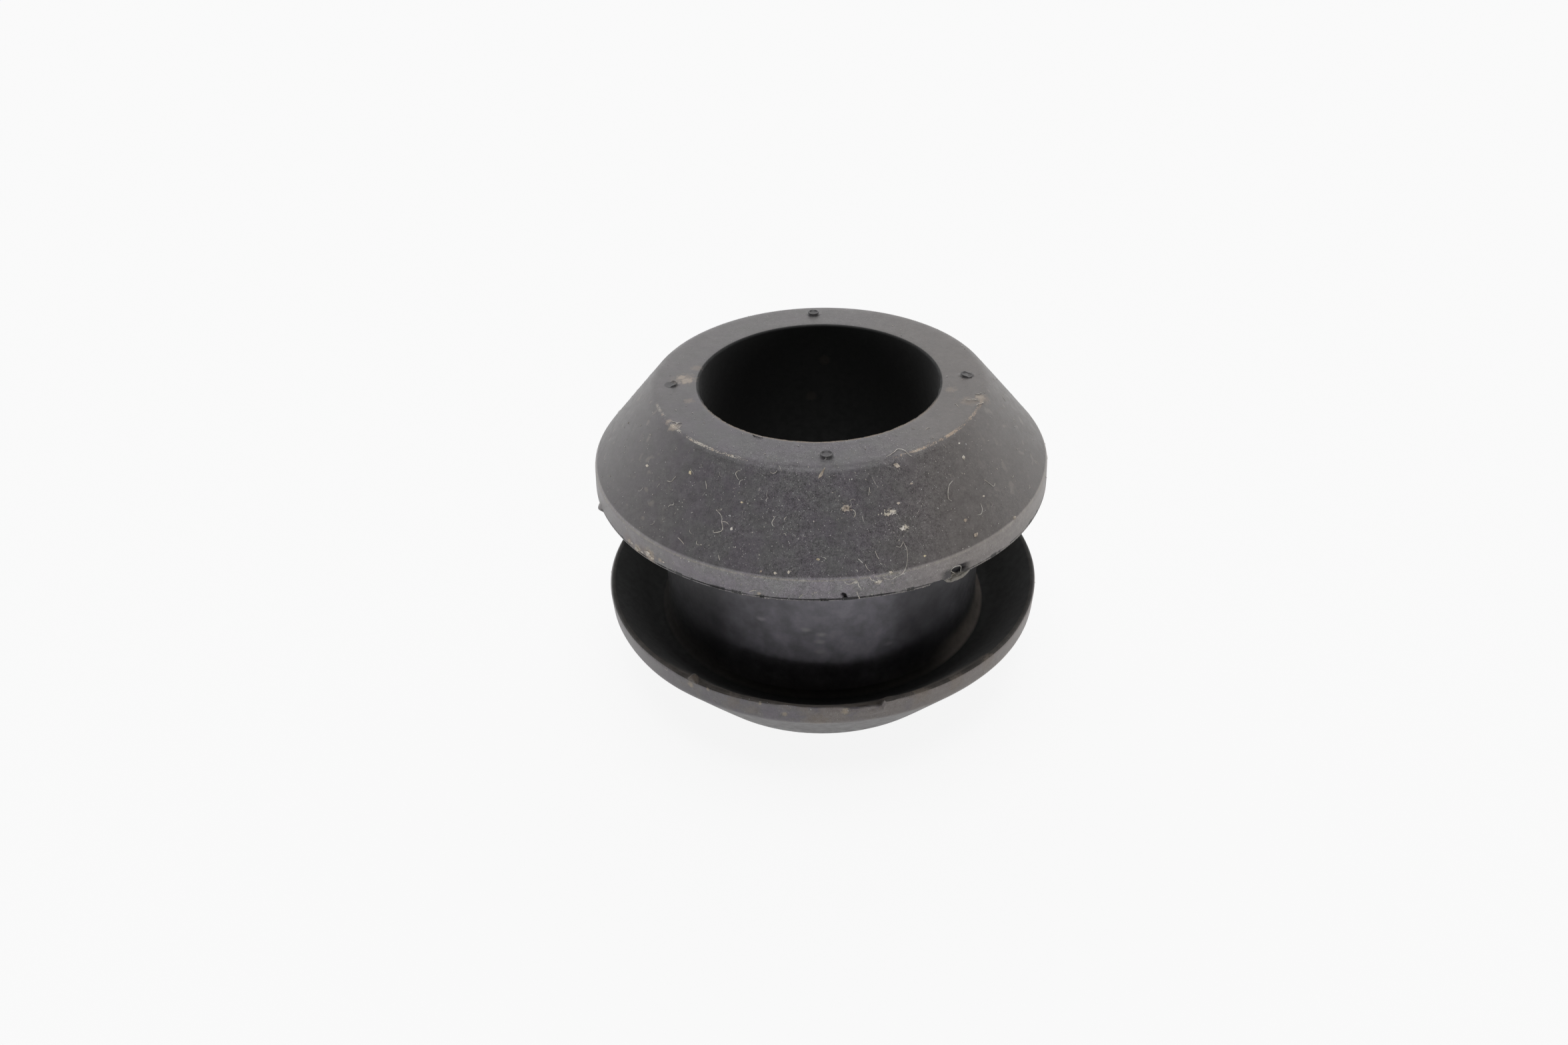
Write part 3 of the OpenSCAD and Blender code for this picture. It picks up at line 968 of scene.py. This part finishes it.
def lay_tuft(facing, height, wide, high):
    """A tuft of dust: overlapping flakes in a ragged patch, with a few short curls."""
    start, normal = skin(facing, height)
    across, up = level(normal)
    made = []
    lobes = [(random.uniform(-0.34, 0.34) * wide, random.uniform(-0.3, 0.3) * high)
             for i in range(TUFT_LOBES)]
    for i in range(TUFT_FLAKES + int(TUFT_FLAKES_PER_MM * wide)):
        a, b = lobes[i % TUFT_LOBES]
        out = abs(random.gauss(0, 0.5))
        turned = random.random() * 2 * math.pi
        a += math.cos(turned) * out * wide * 0.24
        b += math.sin(turned) * out * high * 0.28
        out = min(out, 1)
        spot, faces = surface.find_nearest(start + across * a + up * b)[:2]
        size = random.uniform(0.05, 0.12)
        tilted = faces + across * random.uniform(-0.5, 0.5) + up * random.uniform(-0.5, 0.5)
        stacked = spot + faces * 0.05 * (1 - out) * random.random()
        made.append(lay_flake(SHAPES[i % 3], stacked, tilted.normalized(), size, size * 0.7, 0.05,
                              random.uniform(0, 360)))
    curls = []
    for i in range(TUFT_CURLS):
        a, b = random.uniform(-0.4, 0.4) * wide, random.uniform(-0.4, 0.4) * high
        run = [(random.uniform(-0.09, 0.09) * k, random.uniform(-0.09, 0.09) * k)
               for k in (1, 1.6, 2)]
        curls.append(lay_fibre(start + across * a + up * b, normal, run, CURL, 0.05))
    return made, curls


def anywhere(front):
    """A random place on the outside: flank, top, or band, more often at the front when asked."""
    facing = random.gauss(-90, 45) if random.random() < front else random.uniform(-180, 180)
    part = random.random()
    if part < 0.72:
        return skin(facing, random.uniform(BODY_H - CONE_H - 0.1, BODY_H - 0.05))
    if part < 0.86:
        return skin(facing, BODY_H, random.uniform(BORE_R + 0.3, HUB_R - 0.1))
    if part < 0.94:
        return skin(facing, random.uniform(UPPER_LIP_H + 0.1, BAND_TOP))
    return skin(facing, random.uniform(CONE_H + 0.1, LIP_H - 0.05), LIP_R)


THREAD = thread()
LUMPS = [flake("lump_%d" % seed, 3, seed) for seed in (1, 2, 3)]
SHAPES = [flake("flake_%d" % seed, 2, seed) for seed in (1, 2, 3)]
GRAINS = [flake("grain_%d" % seed, 1, seed) for seed in (4, 5, 6)]

fibres = [lay_fibre(*skin(facing, height), run) for facing, height, *run in FIBRES]
fibres += [lay_fibre(*skin(facing, height), run, BOLD_FIBRE)
           for facing, height, *run in BOLD_FIBRES]
fibres += [lay_fibre(*skin(facing, BODY_H, HUB_R - 0.35), run, HUB_FIBRE, 0.06)
           for facing, *run in HUB_FIBRES]
over_gate = Vector((math.cos(math.radians(LOOP_FACING)), math.sin(math.radians(LOOP_FACING)), 0))
fibres.append(lay_fibre(over_gate * (LIP_R + 0.02) + Vector((0, 0, LOOP_H)), over_gate, LOOP,
                        HUB_FIBRE, 0.05, True))
for i in range(STRAY_FIBRES):
    heading, bend = random.uniform(0, 2 * math.pi), random.uniform(-2.2, 2.2)
    length = random.uniform(0.12, 0.5)
    run = []
    a = b = 0.0
    for k in range(4):
        a, b = a + math.cos(heading) * length / 4, b + math.sin(heading) * length / 4
        run.append((a, b))
        heading += bend / 3
    fibres.append(lay_fibre(*anywhere(0.6), run, random.uniform(0.009, 0.015)))

tan_chips, pale_chips, gold_chips = map(lay_chips, (TAN_CHIPS, PALE_CHIPS, GOLD_CHIPS))
for i, tuft in enumerate(TUFTS):
    made, curls = lay_tuft(*tuft)
    (tan_chips if i == 0 else pale_chips).extend(made)
    fibres += curls

specks = []
for i in range(SPECKS):
    size = random.uniform(0.025, 0.05) if random.random() < 0.9 else random.uniform(0.05, 0.09)
    if i < SPECKS_ON_TOP:
        place = skin(random.gauss(-90, 25), BODY_H, random.uniform(BORE_R + 0.1, HUB_R))
    elif i < SPECKS_ON_TOP + SPECKS_ON_BAND:
        place = skin(random.gauss(-98, 22), random.uniform(UPPER_LIP_H + 0.1, BAND_TOP), LIP_R)
    else:
        place = anywhere(0.45)
    specks.append(lay_flake(GRAINS[i % 3], *place, size * random.uniform(1, 1.8), size, size * 0.6,
                            random.uniform(0, 360)))

# Each piece of dirt, with the two colours that it drifts between.
for pieces, name, first, second in (
        (fibres, "fibres", colour(0.74, 0.71, 0.66), colour(0.66, 0.61, 0.54)),
        (tan_chips, "tan_flakes", colour(0.68, 0.60, 0.52), colour(0.44, 0.37, 0.30)),
        (pale_chips, "pale_flakes", colour(0.88, 0.83, 0.77), colour(0.78, 0.71, 0.61)),
        (gold_chips, "gold_flakes", colour(0.88, 0.78, 0.52), colour(0.80, 0.66, 0.50)),
        (specks, "specks", colour(0.68, 0.67, 0.66), colour(0.62, 0.57, 0.50))):
    finish_piece(join(pieces, name), lint_finish(name, first, second))
for shape in LUMPS + SHAPES + GRAINS:
    bpy.data.objects.remove(shape)

sliver = lay_fibre(*skin(BURR, BODY_H, BORE_R + 0.24), SLIVER, BOLD_FIBRE, 0.03)
bpy.data.objects.remove(THREAD)
body = join([body, sliver], "grommet_body")
finish_piece(body, rubber_finish())
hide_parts("grommet")


# ---- floor, light and camera ----
FLOOR_SIZE = 60
ROOM_DARK, ROOM_BRIGHT = 0.02, 1.4      # strength of the room in front and behind
SENSOR, LENS = 36, 28.163               # millimetres
CAMERA_AT = (0, -0.069985, 0.058804)
CAMERA_AIM = (-0.00257, 0, 0.009816)
CAMERA_ROLL = -2.009                    # degrees


def floor_finish():
    """White floor: seen as white, with the grommet's soft shadow kept."""
    f = Finish("floor white", Base_Color=colour(0.58, 0.58, 0.58), Roughness=0.9)
    glow = f.node("Emission", None, {"Color": colour(1, 1, 1), "Strength": 1.0}, "Emission")
    mixed = f.node("MixShader", None, {0: f.rays("Camera", "Glossy", "Transmission") * 0.9,
                                       1: Amount(f, f.shader.outputs[0]), 2: glow}, "Shader")
    f.plug(f.nodes["Material Output"].inputs["Surface"], mixed)
    return f.material


deselect()
bpy.ops.mesh.primitive_plane_add(size=FLOOR_SIZE)
floor = named("floor")
floor.data.materials.append(floor_finish())

world = bpy.data.worlds.new("studio")
bpy.context.scene.world = world
world.use_nodes = True

# The room is white behind and dark above the front, and is seen as white all round.
studio = Nodes(world.node_tree)
back, up = studio.split(studio.node("TexCoord", out="Generated"))[1:]
room = studio.fall(up - back * 0.65, 0.15, 0.45) * (ROOM_BRIGHT - ROOM_DARK) + ROOM_DARK
sky = studio.nodes["Background"]
sky.inputs["Color"].default_value = colour(1, 1, 1)
studio.plug(sky.inputs["Strength"], room + (1.0 - room) * studio.rays("Camera", "Transmission"))


def lamp(kind, name, place, power):
    deselect()
    bpy.ops.object.light_add(type=kind, location=place)
    made = named(name)
    made.data.energy = power
    return made.data


lamp("SUN", "overhead_softbox", (0, 0, 0), 1.9).angle = math.radians(40)
# Lamps over the floor in front, whose cones pass clear of the grommet.
for name, place, power, cone in (("floor_lamp", (0, -0.27, 0.35), 5.4, 66),
                                 ("near_floor_lamp", (0, -0.15, 0.18), 5.5, 60)):
    spot = lamp("SPOT", name, place, power)
    spot.spot_size, spot.spot_blend, spot.shadow_soft_size = math.radians(cone), 0.3, 0.01

bpy.ops.object.camera_add(location=CAMERA_AT)
camera = named("camera")
camera.data.sensor_width, camera.data.lens = SENSOR, LENS
camera.data.clip_start, camera.data.clip_end = 0.001, 100
aim = Vector(CAMERA_AIM) - camera.location
camera.rotation_mode = "QUATERNION"
camera.rotation_quaternion = aim.to_track_quat("-Z", "Y") \
    @ Quaternion((0, 0, 1), math.radians(CAMERA_ROLL))
bpy.context.scene.camera = camera
bpy.context.scene.view_settings.view_transform = "Standard"

bpy.context.view_layer.update()
